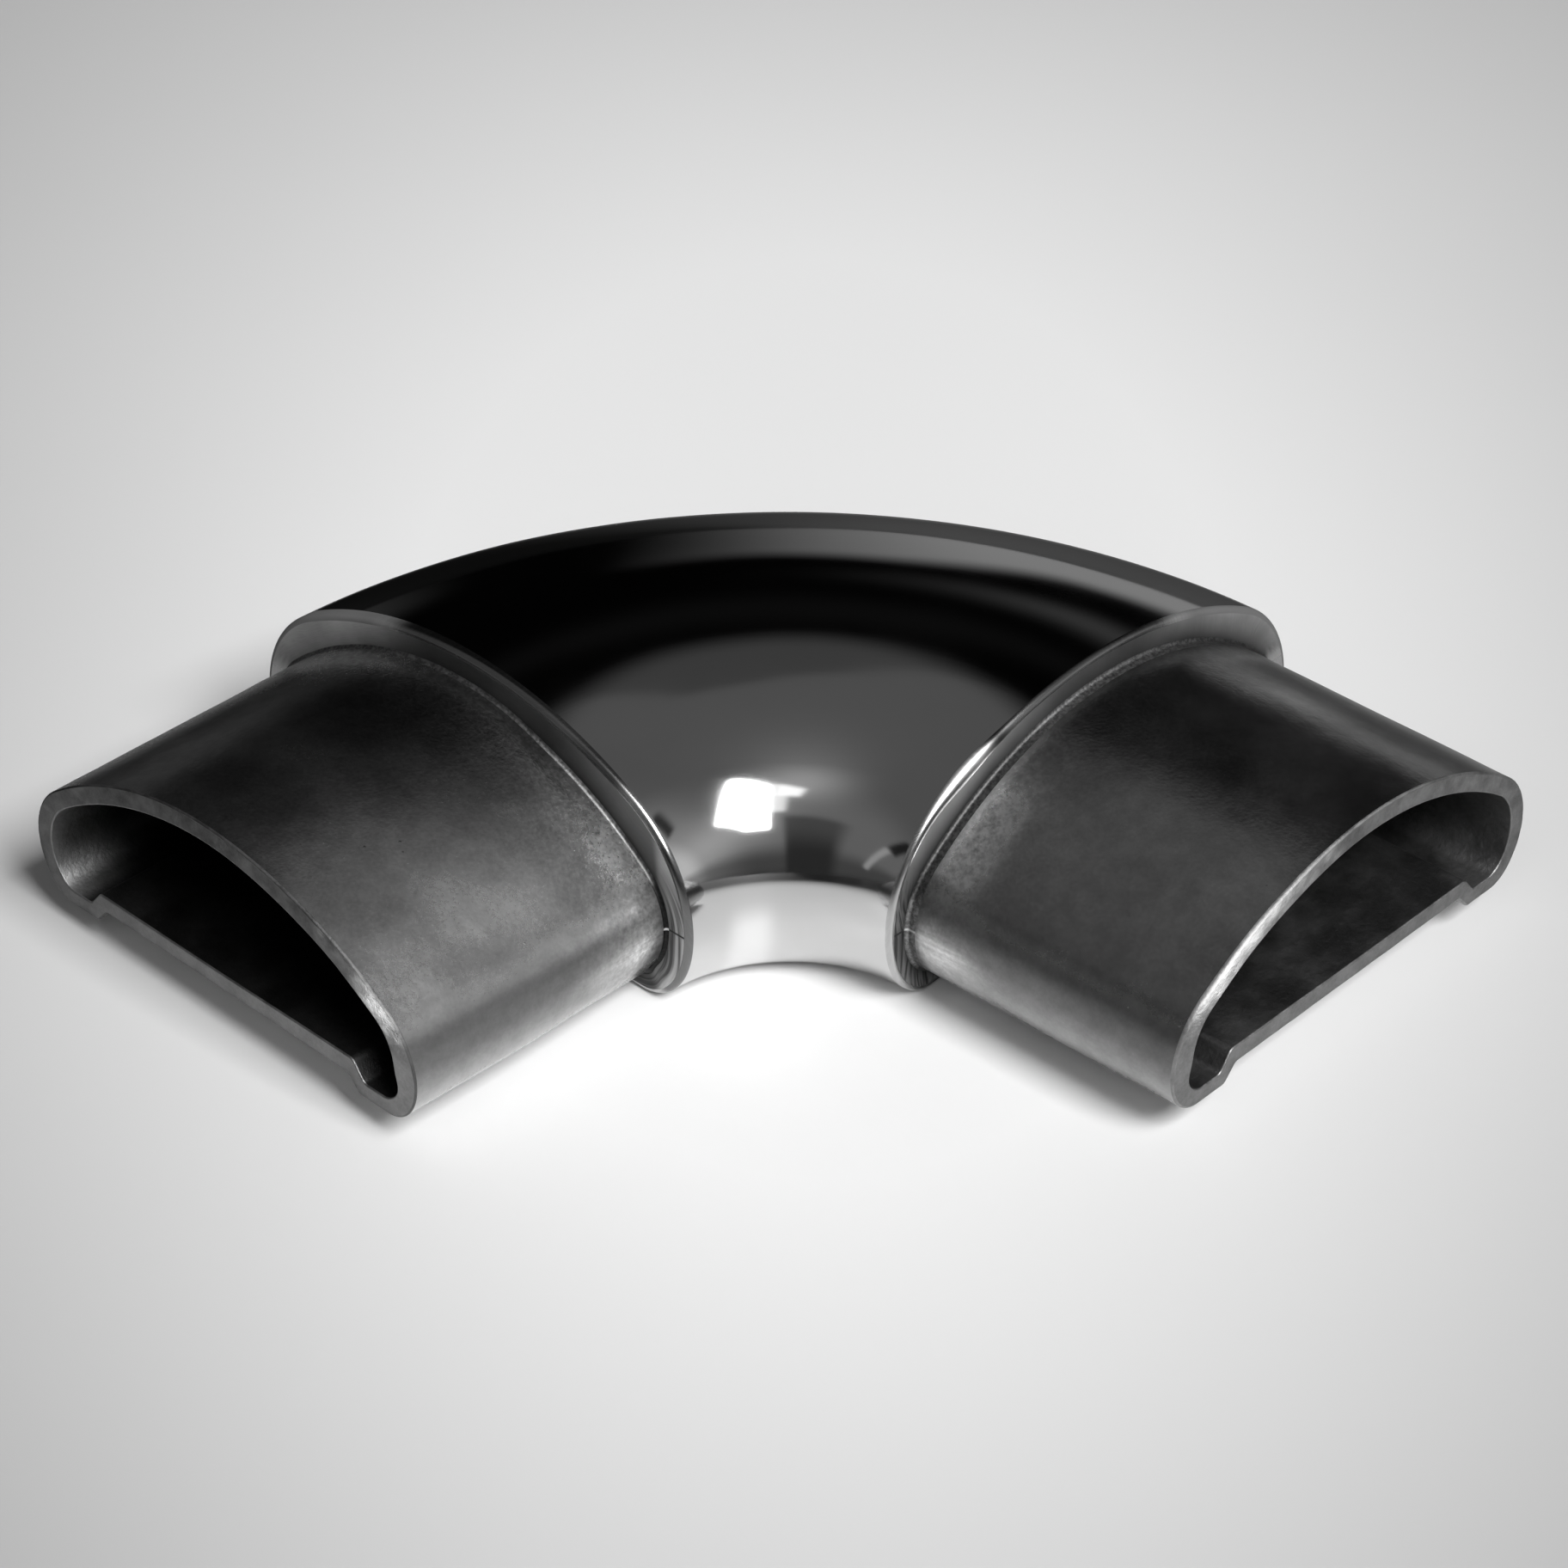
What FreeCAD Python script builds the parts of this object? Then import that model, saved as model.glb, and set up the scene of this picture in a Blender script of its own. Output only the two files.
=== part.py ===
import FreeCAD, Part
import math
import os

from FreeCAD import Vector

os.makedirs("parts", exist_ok=True)

# ---------------------------------------------------------------- dimensions (mm)
# 90 degree elbow that joins two tubes of a D-section handrail, cast in one piece.
# It lies on its flat underside, +Z up. One spigot points along +X, the other along -Y.

BEND_RADIUS = 36.0          # centreline radius of the quarter turn
SPIGOT_LENGTH = 26.0        # shoulder to end face

# outer section of the bend (flush with the rail tube)
BEND_HALF_WIDTH = 25.0
BEND_WAIST_Z = 7.7          # height of the widest point
BEND_TOP_Z = 22.7
BEND_SIDE_R = 11.6          # radius between dome and side
BEND_FOOT_HALF = 19.8       # where the flank runs out into the flat foot
BEND_FOOT_IN = 14.7         # inner edge of the foot
BEND_FOOT_Z = 0.0

# spigot section at the shoulder
ROOT_HALF_WIDTH = 23.05
ROOT_TOP_Z = 20.3
ROOT_SIDE_R = 6.8
ROOT_FOOT_HALF = 19.3
ROOT_FOOT_IN = 15.8
ROOT_FOOT_Z = 2.1

# spigot section at the end face: a little smaller, the draft of the casting
END_HALF_WIDTH = 22.6
END_TOP_Z = 19.5
END_SIDE_R = 6.9
END_FOOT_HALF = 19.0
END_FOOT_IN = 15.7
END_FOOT_Z = 2.4

SPIGOT_WAIST_Z = 7.45

# shallow channel along the underside
CHANNEL_DEPTH = 1.4
CHANNEL_RAMP = 1.3          # horizontal run of its slanted sides
CHANNEL_ROUND = 0.7         # rounding of its four corners

# hollow passage, the same all the way through
BORE_HALF_WIDTH = 20.9
BORE_WAIST_Z = 7.4
BORE_TOP_Z = 17.7
BORE_SIDE_R = 5.4
BORE_FOOT_HALF = 18.4
BORE_FOOT_IN = 16.4
BORE_FOOT_Z = 3.98
BORE_FLOOR_RISE = 1.55

SHOULDER_EDGE_R = 0.55      # rounded rim of the polished bend
ROOT_FILLET_R = 0.35        # foot of the spigot against the shoulder
RIM_BREAK_R = 0.2           # broken edge of each end face

# ---------------------------------------------------------------- frame
# Centre of the turn, placed so that the part's box is centred on Z with its foot at Z = 0.
REACH = BEND_RADIUS + BEND_HALF_WIDTH
CX = (REACH - SPIGOT_LENGTH) / 2.0
CY = -CX
AXIS = Vector(CX, CY, 0)


def at_x(x):
    """Section plane across +X: u runs outwards from the centreline, along +Y."""
    return lambda u, z: Vector(CX + x, CY + BEND_RADIUS + u, z)


def at_y(y):
    """Section plane across -Y: u runs outwards from the centreline, along -X."""
    return lambda u, z: Vector(CX - BEND_RADIUS - u, CY - y, z)


def rounded_corner(p, a, b, r):
    """Tangent points and middle of an arc of radius r at corner p between a and b."""
    ax, az = a[0] - p[0], a[1] - p[1]
    bx, bz = b[0] - p[0], b[1] - p[1]
    la, lb = math.hypot(ax, az), math.hypot(bx, bz)
    ax, az, bx, bz = ax / la, az / la, bx / lb, bz / lb
    half = math.acos(max(-1.0, min(1.0, ax * bx + az * bz))) / 2.0
    t = r / math.tan(half)
    cx, cz = ax + bx, az + bz
    lc = math.hypot(cx, cz)
    m = r / math.sin(half) - r
    return ((p[0] + ax * t, p[1] + az * t),
            (p[0] + cx / lc * m, p[1] + cz / lc * m),
            (p[0] + bx * t, p[1] + bz * t))


def section(to3d, half, waist, top, side_r, foot_half, foot_in, foot_z, rise, ramp, rnd):
    """Closed D outline: domed top, rounded sides, flanks turning in to two flat feet,
    and a shallow channel between the feet."""
    h = top - waist
    dome_r = (half * half + h * h - 2.0 * half * side_r) / (2.0 * (h - side_r))
    dome_z = top - dome_r
    ang = math.atan2(waist - dome_z, half - side_r)

    def dome(t):
        return dome_r * math.cos(t), dome_z + dome_r * math.sin(t)

    def side(t):
        return half - side_r + side_r * math.cos(t), waist + side_r * math.sin(t)

    def v(p, s=1.0):
        return to3d(s * p[0], p[1])

    edges = [Part.Arc(v(dome(ang), -1.0), v(dome(math.pi / 2.0)), v(dome(ang))).toShape()]

    # right half from the dome down to the channel
    foot = (foot_half, foot_z)
    c1 = rounded_corner((foot_in, foot_z), foot, (foot_in - ramp, foot_z + rise), rnd)
    c2 = rounded_corner((foot_in - ramp, foot_z + rise), (foot_in, foot_z), (0.0, foot_z + rise), rnd)

    def half_edges(s):
        out = [Part.Arc(v(side(ang), s), v(side(ang / 2.0), s), v(side(0.0), s)).toShape()]
        flank = Part.BSplineCurve()
        flank.buildFromPolesMultsKnots(
            [v((half, waist), s), v((half, foot_z), s), v(foot, s)],
            [3, 3], [0.0, 1.0], False, 2, [1.0, math.sqrt(0.5), 1.0])
        out.append(flank.toShape())
        out.append(Part.LineSegment(v(foot, s), v(c1[0], s)).toShape())
        out.append(Part.Arc(v(c1[0], s), v(c1[1], s), v(c1[2], s)).toShape())
        out.append(Part.LineSegment(v(c1[2], s), v(c2[0], s)).toShape())
        out.append(Part.Arc(v(c2[0], s), v(c2[1], s), v(c2[2], s)).toShape())
        return out

    edges += half_edges(1.0)
    edges.append(Part.LineSegment(v(c2[2]), v(c2[2], -1.0)).toShape())
    edges += half_edges(-1.0)[::-1]
    return Part.Wire(Part.__sortEdges__(edges))


def bend_section(to3d):
    return section(to3d, BEND_HALF_WIDTH, BEND_WAIST_Z, BEND_TOP_Z, BEND_SIDE_R,
                   BEND_FOOT_HALF, BEND_FOOT_IN, BEND_FOOT_Z,
                   CHANNEL_DEPTH, CHANNEL_RAMP, CHANNEL_ROUND)


def spigot_section(to3d, k):
    """Spigot outline at the fraction k of the way from the shoulder to the end face."""
    def mix(a, b):
        return a + (b - a) * k
    return section(to3d, mix(ROOT_HALF_WIDTH, END_HALF_WIDTH), SPIGOT_WAIST_Z,
                   mix(ROOT_TOP_Z, END_TOP_Z), mix(ROOT_SIDE_R, END_SIDE_R),
                   mix(ROOT_FOOT_HALF, END_FOOT_HALF), mix(ROOT_FOOT_IN, END_FOOT_IN),
                   mix(ROOT_FOOT_Z, END_FOOT_Z), CHANNEL_DEPTH, CHANNEL_RAMP, CHANNEL_ROUND)


def bore_section(to3d):
    return section(to3d, BORE_HALF_WIDTH, BORE_WAIST_Z, BORE_TOP_Z, BORE_SIDE_R,
                   BORE_FOOT_HALF, BORE_FOOT_IN, BORE_FOOT_Z,
                   BORE_FLOOR_RISE, CHANNEL_RAMP, CHANNEL_ROUND)


def quarter_turn(wire):
    return Part.Face(wire).revolve(AXIS, Vector(0, 0, 1), 90.0)


# ---------------------------------------------------------------- outer body
EMBED = 1.5                 # the spigots start this far inside the bend
k0 = -EMBED / SPIGOT_LENGTH

bend = quarter_turn(bend_section(at_x(0.0)))
spigot_x = Part.makeLoft([spigot_section(at_x(-EMBED), k0),
                          spigot_section(at_x(SPIGOT_LENGTH), 1.0)], True, True)
spigot_y = Part.makeLoft([spigot_section(at_y(-EMBED), k0),
                          spigot_section(at_y(SPIGOT_LENGTH), 1.0)], True, True)
outer = bend.fuse([spigot_x, spigot_y])

# ---------------------------------------------------------------- rounded shoulders and roots
def edge_offsets(edge):
    """Points along an edge."""
    a, b = edge.ParameterRange
    return [edge.valueAt(a + (b - a) * i / 4.0) for i in range(5)]


def in_shoulder_plane(edge):
    pts = edge_offsets(edge)
    return (all(abs(p.x - CX) < 1e-4 for p in pts) or
            all(abs(p.y - CY) < 1e-4 for p in pts))


def shoulder_edges(solid, rim):
    """Edges in the two shoulder planes: the outer rim, or the root of the spigot."""
    root = [Part.Face(spigot_section(at_x(0.0), 0.0)), Part.Face(spigot_section(at_y(0.0), 0.0))]
    out = []
    for e in solid.Edges:
        if not in_shoulder_plane(e):
            continue
        mid = Part.Vertex(e.valueAt(sum(e.ParameterRange) / 2.0))
        near_root = min(mid.distToShape(w.OuterWire)[0] for w in root) < 0.05
        if near_root != rim:
            out.append(e)
    return out


outer = outer.makeFillet(SHOULDER_EDGE_R, shoulder_edges(outer, True))
outer = outer.makeFillet(ROOT_FILLET_R, shoulder_edges(outer, False))

# ---------------------------------------------------------------- hollow passage
PAST = 2.0
bore = quarter_turn(bore_section(at_x(0.0)))
bore_x = Part.Face(bore_section(at_x(0.0))).extrude(Vector(SPIGOT_LENGTH + PAST, 0, 0))
bore_y = Part.Face(bore_section(at_y(0.0))).extrude(Vector(0, -(SPIGOT_LENGTH + PAST), 0))
passage = bore.fuse([bore_x, bore_y]).removeSplitter()

body = outer.cut(passage)

# ---------------------------------------------------------------- broken rims of the end faces
def end_edges(solid):
    out = []
    for e in solid.Edges:
        pts = edge_offsets(e)
        if (all(abs(p.x - CX - SPIGOT_LENGTH) < 1e-4 for p in pts) or
                all(abs(p.y - CY + SPIGOT_LENGTH) < 1e-4 for p in pts)):
            out.append(e)
    return out


body = body.makeFillet(RIM_BREAK_R, end_edges(body))

solid = body.Solids[0]
print("solids", len(body.Solids), "valid", solid.isValid(), "closed", solid.isClosed())
print("volume mm3", round(solid.Volume, 1), "mass kg at 7900", round(solid.Volume * 7.9e-6, 4))
bb = solid.BoundBox
print("box", [round(v, 3) for v in (bb.XMin, bb.YMin, bb.ZMin, bb.XMax, bb.YMax, bb.ZMax)])
print("turn centre", round(CX, 3), round(CY, 3), "faces", len(solid.Faces))
solid.exportStep("parts/elbow_body.step")
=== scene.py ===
import math

import bpy
import numpy as np
from mathutils import Matrix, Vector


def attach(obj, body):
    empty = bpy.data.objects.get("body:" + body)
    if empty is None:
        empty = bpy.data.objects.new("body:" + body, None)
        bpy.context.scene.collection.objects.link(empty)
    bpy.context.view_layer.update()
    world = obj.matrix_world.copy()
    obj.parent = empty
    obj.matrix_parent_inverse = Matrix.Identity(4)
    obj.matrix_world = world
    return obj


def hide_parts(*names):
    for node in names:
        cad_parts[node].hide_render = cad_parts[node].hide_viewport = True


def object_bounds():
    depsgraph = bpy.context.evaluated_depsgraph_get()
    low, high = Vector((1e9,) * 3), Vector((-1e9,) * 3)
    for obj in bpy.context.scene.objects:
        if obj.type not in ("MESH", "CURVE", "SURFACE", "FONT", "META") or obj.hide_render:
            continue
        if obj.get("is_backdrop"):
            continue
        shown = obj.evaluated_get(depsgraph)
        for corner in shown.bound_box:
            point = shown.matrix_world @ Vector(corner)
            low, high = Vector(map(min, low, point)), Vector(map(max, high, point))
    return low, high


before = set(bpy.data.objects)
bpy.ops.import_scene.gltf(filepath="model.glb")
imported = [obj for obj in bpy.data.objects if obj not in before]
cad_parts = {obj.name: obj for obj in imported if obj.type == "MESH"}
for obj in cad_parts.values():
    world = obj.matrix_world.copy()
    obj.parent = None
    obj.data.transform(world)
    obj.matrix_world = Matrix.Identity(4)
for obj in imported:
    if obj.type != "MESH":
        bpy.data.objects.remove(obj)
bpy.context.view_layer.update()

MM = 0.001

# ------------------------------------------------------------------ sizes (mm)
# Hollow 90 degree elbow for a D-section handrail. It lies on its flat underside, +Z up,
# with one spigot along +X and the other along -Y.
R = 36.0                       # centreline radius of the turn
LENGTH = 26.0                  # shoulder to end face
CX, CY = 17.5, -17.5           # centre of the turn

CHANNEL = dict(rise=1.4, ramp=1.3, rnd=0.7)
BEND = dict(half=25.0, waist=7.7, top=22.7, side_r=11.6, foot_half=19.8, foot_in=14.7, foot_z=0.0, **CHANNEL)
ROOT = dict(half=23.05, waist=7.45, top=20.3, side_r=6.8, foot_half=19.3, foot_in=15.8, foot_z=2.1, **CHANNEL)
END = dict(half=22.6, waist=7.45, top=19.5, side_r=6.9, foot_half=19.0, foot_in=15.7, foot_z=2.4, **CHANNEL)
BORE = dict(half=20.9, waist=7.4, top=17.7, side_r=5.4, foot_half=18.4, foot_in=16.4, foot_z=3.80,
            rise=1.55, ramp=1.3, rnd=0.7)

ROOT_R = 0.30                  # corner between spigot and shoulder
INNER_R = 0.15                 # broken inner edge of each end face


# ------------------------------------------------------------------ D outline
def corner_arc(p, a, b, r, n, solid_inside):
    """Arc of radius r at the corner p between a and b: points, and normals out of the metal."""
    p, a, b = np.array(p, float), np.array(a, float), np.array(b, float)
    da, db = (a - p) / np.linalg.norm(a - p), (b - p) / np.linalg.norm(b - p)
    half = math.acos(np.clip(da @ db, -1, 1)) / 2
    mid = (da + db) / np.linalg.norm(da + db)
    c = p + mid * r / math.sin(half)
    t0, t1 = p + da * r / math.tan(half) - c, p + db * r / math.tan(half) - c
    a0, a1 = math.atan2(t0[1], t0[0]), math.atan2(t1[1], t1[0])
    a1 = a0 + (a1 - a0 + math.pi) % (2 * math.pi) - math.pi
    t = np.linspace(a0, a1, n + 1)
    d = np.c_[np.cos(t), np.sin(t)]
    return c + r * d, d if solid_inside else -d


def outline(half, waist, top, side_r, foot_half, foot_in, foot_z, rise, ramp, rnd):
    """Closed D outline with the same number of points for every section: points (u, z) and
    unit normals that point out of the outline."""
    h = top - waist
    dome_r = (half * half + h * h - 2 * half * side_r) / (2 * (h - side_r))
    dome_z = top - dome_r
    ang = math.atan2(waist - dome_z, half - side_r)
    pts, nrm = [], []

    def add(p, n):
        skip = 1 if pts else 0
        pts.extend(p[skip:])
        nrm.extend(n[skip:])

    t = np.linspace(math.pi / 2, ang, 45)
    d = np.c_[np.cos(t), np.sin(t)]
    add(np.array([0, dome_z]) + dome_r * d, d)
    t = np.linspace(ang, 0, 27)
    d = np.c_[np.cos(t), np.sin(t)]
    add(np.array([half - side_r, waist]) + side_r * d, d)
    t = np.linspace(0, math.pi / 2, 27)
    ax, bz = half - foot_half, waist - foot_z
    d = np.c_[np.cos(t) / ax, -np.sin(t) / bz]
    d /= np.linalg.norm(d, axis=1)[:, None]
    add(np.c_[foot_half + ax * np.cos(t), waist - bz * np.sin(t)], d)
    foot, low = (foot_half, foot_z), (foot_in, foot_z)
    high, mid = (foot_in - ramp, foot_z + rise), (0.0, foot_z + rise)
    c1, n1 = corner_arc(low, foot, high, rnd, 5, True)
    c2, n2 = corner_arc(high, low, mid, rnd, 5, False)
    k = np.linspace(0, 1, 6)[:, None]
    add(np.array(foot) * (1 - k) + c1[0] * k, np.repeat([[0.0, -1.0]], 6, 0))
    add(c1, n1)
    k = np.linspace(0, 1, 4)[:, None]
    add(c1[-1] * (1 - k) + c2[0] * k, np.repeat([n1[-1]], 4, 0))
    add(c2, n2)
    k = np.linspace(0, 1, 13)[:, None]
    add(c2[-1] * (1 - k) + np.array(mid) * k, np.repeat([[0.0, -1.0]], 13, 0))
    p, n = np.array(pts), np.array(nrm)
    flip = np.array([-1.0, 1.0])
    return np.vstack([p, (p * flip)[-2:0:-1]]), np.vstack([n, (n * flip)[-2:0:-1]])


P_BEND, N_BEND = outline(**BEND)
P_ROOT, N_ROOT = outline(**ROOT)
P_END, N_END = outline(**END)
P_BORE, N_BORE = outline(**BORE)
COUNT = len(P_BEND)
DRAFT = (P_END - P_ROOT) / LENGTH


def rim_round(side):
    """Radius of the polished rim of a shoulder, round the outline: the right one is buffed rounder on one side."""
    return 0.50 + (0.35 if side == "right" else 0.0) * np.exp(-((P_BEND[:, 0] + 16.5) / 3.5) ** 2)


# The ends are worn on the side towards the inside of the turn: WORN is 1 there, 0 elsewhere.
WORN = 1 / (1 + np.exp((P_END[:, 0] + 3.0) / 4.0)) / (1 + np.exp(-(P_END[:, 1] - 8.0) / 1.5))
WORN_IN = 1 / (1 + np.exp((P_BORE[:, 0] + 5.0) / 3.0)) / (1 + np.exp(-(P_BORE[:, 1] - 5.9) / 0.5))
WORN_SPAN, WORN_DEPTH = 4.0, 0.62
LIP = 0.75 + 0.25 / (1 + np.exp((P_BORE[:, 0] + 15.5) / 1.0))


def worn(s):
    """How far the worn side lies inside the plain outline."""
    t = np.clip((np.broadcast_to(np.asarray(s, float), (COUNT,)) - LENGTH + WORN_SPAN) / WORN_SPAN, 0.0, 1.0)
    return WORN_DEPTH * WORN * t * t


# The left spigot is ground a little lower next to its shoulder, on the same side, but not underneath.
SUNK = 0.5 / (1 + np.exp((P_ROOT[:, 0] + 7.0) / 1.5)) / (1 + np.exp(-(N_ROOT[:, 1] + 0.8) / 0.05))
SUNK_SPAN = 8.0


def sunk(side, s):
    """How far the spigot lies inside the plain outline next to the shoulder, and the slope of that."""
    s = np.broadcast_to(np.asarray(s, float), (COUNT,))
    d = SUNK * (side == "left") * np.exp(-(s / SUNK_SPAN) ** 2)
    return d, -2 * s / SUNK_SPAN ** 2 * d


def spigot_at(s):
    """Spigot outline at the distance s from the shoulder, which may differ from point to point."""
    k = np.broadcast_to(np.asarray(s, float), (COUNT,))[:, None] / LENGTH
    n = N_ROOT * (1 - k) + N_END * k
    n = n / np.linalg.norm(n, axis=1)[:, None]
    return P_ROOT + DRAFT * (k * LENGTH) - worn(s)[:, None] * n, n


def bore_at(s):
    """Bore outline at the distance s from the shoulder: a little narrower right at the mouth, on the worn side."""
    t = np.clip((s - LENGTH + WORN_SPAN) / WORN_SPAN, 0.0, 1.0)
    return P_BORE - (LIP * WORN_IN * t * t * (3 - 2 * t))[:, None] * N_BORE


# ------------------------------------------------------------------ placing outlines in space
def straight(side, p, n, s, axial=0.0):
    """Outline p with normals n on a spigot, at the distance s from the shoulder. axial is the
    share of the normal along the spigot."""
    s = np.broadcast_to(np.asarray(s, float), (COUNT,))
    axial = np.broadcast_to(np.asarray(axial, float), (COUNT,))
    if side == "left":
        pos = np.c_[CX - R - p[:, 0], CY - s, p[:, 1]]
        nor = np.c_[-n[:, 0], -axial, n[:, 1]]
    else:
        pos = np.c_[CX + s, CY + R + p[:, 0], p[:, 1]]
        nor = np.c_[axial, n[:, 0], n[:, 1]]
    return pos, nor / np.linalg.norm(nor, axis=1)[:, None]


def turned(p, n, angle, axial=0.0, side="left"):
    """Outline on the bend at the angle from the left shoulder, which may differ from point to
    point. axial is the share of the normal that points to that side's shoulder."""
    angle = np.broadcast_to(np.asarray(angle, float), (COUNT,))
    axial = np.broadcast_to(np.asarray(axial, float), (COUNT,))
    a = math.pi - angle
    rho = R + p[:, 0]
    pos = np.c_[CX + rho * np.cos(a), CY + rho * np.sin(a), p[:, 1]]
    nor = np.c_[n[:, 0] * np.cos(a), n[:, 0] * np.sin(a), n[:, 1]]
    nor = nor + axial[:, None] * np.array([0, -1.0, 0] if side == "left" else [1.0, 0, 0])
    return pos, nor / np.linalg.norm(nor, axis=1)[:, None]


# ------------------------------------------------------------------ stations, in a ring
POLISHED, SATIN, FACED, CUT, INSIDE, EDGE, RIM, CORNER = range(8)
stations = []                  # (positions, normals, zone of the strip that follows, mask of each waviness)


def station(pos_nor, zone, polish=0.0, cast=0.0, rough=0.0):
    stations.append((pos_nor[0], pos_nor[1], zone, polish, cast, rough))


def edge_round(side):
    """Radius of the ground outer edge of an end face, round the outline: widest on the side
    towards the inside of the turn."""
    return 0.14 + 0.08 * WORN if side == "left" else 0.18 + 0.14 * WORN


def end_face(side, outwards):
    ro = edge_round(side)
    inner = bore_at(LENGTH) + INNER_R * N_BORE
    p_end, n_end = spigot_at(LENGTH)
    outer = p_end - ro[:, None] * n_end
    ring = [0, 0.1, 0.3, 0.5, 0.7, 0.9, 1]
    rows = [("ring", k) for k in ring] + [("round", a) for a in (12, 24, 36, 48, 60, 72, 81, 90)]
    if not outwards:
        rows = rows[::-1]
    u = P_END[:, 0]                            # the worn part of the face is rounded over
    if side == "left":
        low = 20.0 / (1 + np.exp((u + 17.0) / 0.4)) / (1 + np.exp(-(u + 22.5) / 0.2))
        crown = np.radians(33.0 + 9.0 / (1 + np.exp((u + 12.0) / 0.8)) + low) * WORN ** 0.35
    else:
        crown = np.radians(46.0 + 7.0 / (1 + np.exp((u + 13.0) / 2.0))) * WORN
    for i, (what, v) in enumerate(rows):
        if what == "ring":
            p = inner * (1 - v) + outer * v
            zone = EDGE if v == 1 and outwards else CUT
            a = crown * (0.86 + 0.14 * v if side == "left" else 0.72 + 0.28 * v)
            station(straight(side, p, n_end * np.sin(a)[:, None], LENGTH, np.cos(a)), zone, rough=0.35 + 0.65 * (0 < v < 1))
        else:
            t = math.radians(v)
            a = crown + (math.pi / 2 - crown) * v / 90.0
            p = outer + (ro * math.sin(t))[:, None] * n_end
            last = v == 90 and outwards
            station(straight(side, p, n_end * np.sin(a)[:, None], LENGTH - ro * (1 - math.cos(t)), np.cos(a)),
                    SATIN if last else EDGE, rough=0.35 if v < 90 else 0.0)


def spigot(side, outwards):
    ro = edge_round(side)
    steps = np.linspace(0, 1, 47)[1:-1]
    if not outwards:
        steps = steps[::-1]
    for k in steps:
        s = ROOT_R + (LENGTH - ro - ROOT_R) * k
        p, n = spigot_at(s)
        low, slope = sunk(side, s)
        p = p - low[:, None] * n
        tilt = slope - (DRAFT * n).sum(1)
        fade = min(1.0, k / 0.08, (1 - k) / 0.05)
        station(straight(side, p, n, s, tilt), SATIN, cast=fade)


def shoulder(side, outwards):
    """From the spigot to the polished bend, or back: root corner, flat face, rounded rim."""
    rows = []
    root = P_ROOT - sunk(side, 0.0)[0][:, None] * N_ROOT
    for a in (0, 15, 30, 45, 60, 75, 90):
        t = math.radians(a)
        p = root + ROOT_R * (1 - math.cos(t)) * N_ROOT
        rows.append((straight(side, p, N_ROOT * math.cos(t), ROOT_R * (1 - math.sin(t)), math.sin(t)), "root"))
    rr = rim_round(side)[:, None]
    p0, p1 = root + ROOT_R * N_ROOT, P_BEND - rr * N_BEND
    for k in (0.08, 0.35, 0.65, 0.92):
        p = p0 * (1 - k) + p1 * k
        rows.append((straight(side, p, np.zeros_like(p), 0.0, 1.0), "flat"))
    for a in (0, 12, 24, 36, 48, 60, 75, 90):
        t = math.radians(a)
        p = P_BEND - rr * (1 - math.sin(t)) * N_BEND
        depth = rr[:, 0] * (1 - math.cos(t))
        angle = np.arcsin(depth / (R + p[:, 0]))
        if side == "right":
            angle = math.pi / 2 - angle
        rows.append((turned(p, N_BEND * math.sin(t), angle, math.cos(t), side), "rim"))
    if outwards:
        rows = rows[::-1]
    for i, (pn, what) in enumerate(rows):
        nxt = rows[i + 1][1] if i + 1 < len(rows) else ("bend" if not outwards else "spigot")
        zone = RIM if "rim" in (what, nxt) and "flat" not in (what, nxt) else FACED
        if "root" in (what, nxt) and "flat" not in (what, nxt):
            zone = CORNER
        station(pn, zone)


FIRST = math.radians(3.2)


def bend():
    start = [np.arcsin(rim_round(side) / (R + P_BEND[:, 0])) for side in ("left", "right")]
    for k in (0.3, 0.65):
        station(turned(P_BEND, N_BEND, start[0] * (1 - k) + FIRST * k), POLISHED, polish=0.3 * k)
    for t in np.linspace(FIRST, math.pi / 2 - FIRST, 89):
        e = min(t, math.pi / 2 - t)
        station(turned(P_BEND, N_BEND, t), POLISHED, polish=min(1.0, e / math.radians(9)))
    for k in (0.65, 0.3):
        station(turned(P_BEND, N_BEND, math.pi / 2 - (start[1] * (1 - k) + FIRST * k)), POLISHED, polish=0.3 * k)


def bore():
    rounds = (72, 54, 36, 18, 0)
    for a in rounds:
        t = math.radians(a)
        p = bore_at(LENGTH) + INNER_R * (1 - math.cos(t)) * N_BORE
        station(straight("right", p, -N_BORE * math.cos(t), LENGTH - INNER_R * (1 - math.sin(t)), math.sin(t)),
                CUT if a else INSIDE)
    for s in np.r_[LENGTH - 0.8, LENGTH - 1.6, np.linspace(LENGTH - 2.6, 0, 12)]:
        station(straight("right", bore_at(s), -N_BORE, s), INSIDE, cast=1.0)
    for t in np.linspace(math.pi / 2, 0, 34)[1:-1]:
        station(turned(P_BORE, -N_BORE, t), INSIDE, cast=1.0)
    for s in np.r_[np.linspace(0, LENGTH - 2.6, 12), LENGTH - 1.6, LENGTH - 0.8]:
        station(straight("left", bore_at(s), -N_BORE, s), INSIDE, cast=1.0)
    for a in rounds[::-1]:
        t = math.radians(a)
        p = bore_at(LENGTH) + INNER_R * (1 - math.cos(t)) * N_BORE
        station(straight("left", p, -N_BORE * math.cos(t), LENGTH - INNER_R * (1 - math.sin(t)), math.sin(t)), CUT)


end_face("left", True)
spigot("left", False)
shoulder("left", False)
bend()
shoulder("right", True)
spigot("right", True)
end_face("right", False)
bore()

POS = np.array([s[0] for s in stations])
NOR = np.array([s[1] for s in stations])
ZONE = np.array([s[2] for s in stations])
POLISH, CAST, ROUGH = (np.array([s[i] for s in stations])[:, None] for i in (3, 4, 5))
ROWS = len(stations)


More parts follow.
